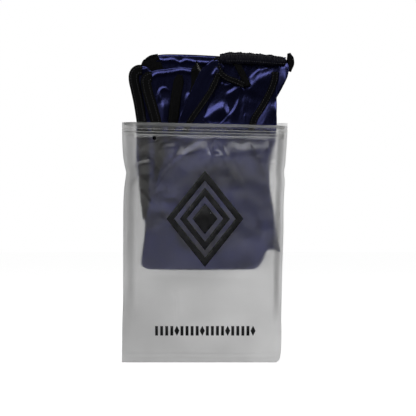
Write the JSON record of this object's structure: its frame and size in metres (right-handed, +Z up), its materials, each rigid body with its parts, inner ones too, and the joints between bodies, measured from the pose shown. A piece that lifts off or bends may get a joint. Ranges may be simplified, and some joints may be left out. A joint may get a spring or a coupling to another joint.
{
  "type": "resealable pouch with folded satin wrap",
  "caption": "Frosted press-to-close film pouch standing upright, its mouth held open by a folded navy satin head wrap with black woven bindings and a gathered elastic edge.",
  "frame": {"origin": "middle of the pouch's bottom edge, between the two films", "axes": "+Z up towards the mouth; -Y out of the printed front film; +X to the right of someone facing the front"},
  "size_m": [0.1817, 0.023, 0.322],
  "materials": {
    "frosted_film": "frosted translucent, semi-matt",
    "zip_plastic": "cloudy, semi-gloss",
    "navy_satin": "smooth satin with a bright sheen",
    "black_binding": "matt ribbed tape",
    "black_elastic": "matt ribbed elastic"
  },
  "bodies": {
    "pouch": {"front_film": "frosted_film", "back_film": "frosted_film"},
    "front_lip": {"front_lip_film": "frosted_film", "groove_track": "zip_plastic"},
    "back_lip": {"back_lip_film": "frosted_film", "rib_track": "zip_plastic"},
    "wrap": {"back_panel": "navy_satin", "back_panel_binding": "black_binding", "middle_panel": "navy_satin", "middle_panel_binding": "black_binding", "front_panel": "navy_satin", "front_panel_binding": "black_binding", "tie_strap": "black_binding", "tie_strap_end": "black_binding", "crown_panel": "navy_satin", "crown_seam_binding": "black_binding", "side_panel": "navy_satin", "side_panel_binding": "black_binding", "binding_loop": "black_binding", "corner_lobe": "navy_satin", "lobe_binding": "black_binding", "gathered_casing": "black_binding", "elastic_band": "black_elastic"}
  },
  "joints": [
    {"name": "wrap_slide", "type": "slide", "parent": "pouch", "child": "wrap", "axis": [0, 0, 1], "range_m": [-0.02, 0.16]},
    {"name": "front_lip_flex", "type": "hinge", "parent": "pouch", "child": "front_lip", "pos_m": [0, -0.016, 0.2263], "axis": [1, 0, 0], "range_deg": [0, 35], "stiffness_Nm_per_rad": 0.01},
    {"name": "back_lip_flex", "type": "hinge", "parent": "pouch", "child": "back_lip", "pos_m": [0, 0.007, 0.2263], "axis": [-1, 0, 0], "range_deg": [0, 35], "stiffness_Nm_per_rad": 0.01}
  ]
}
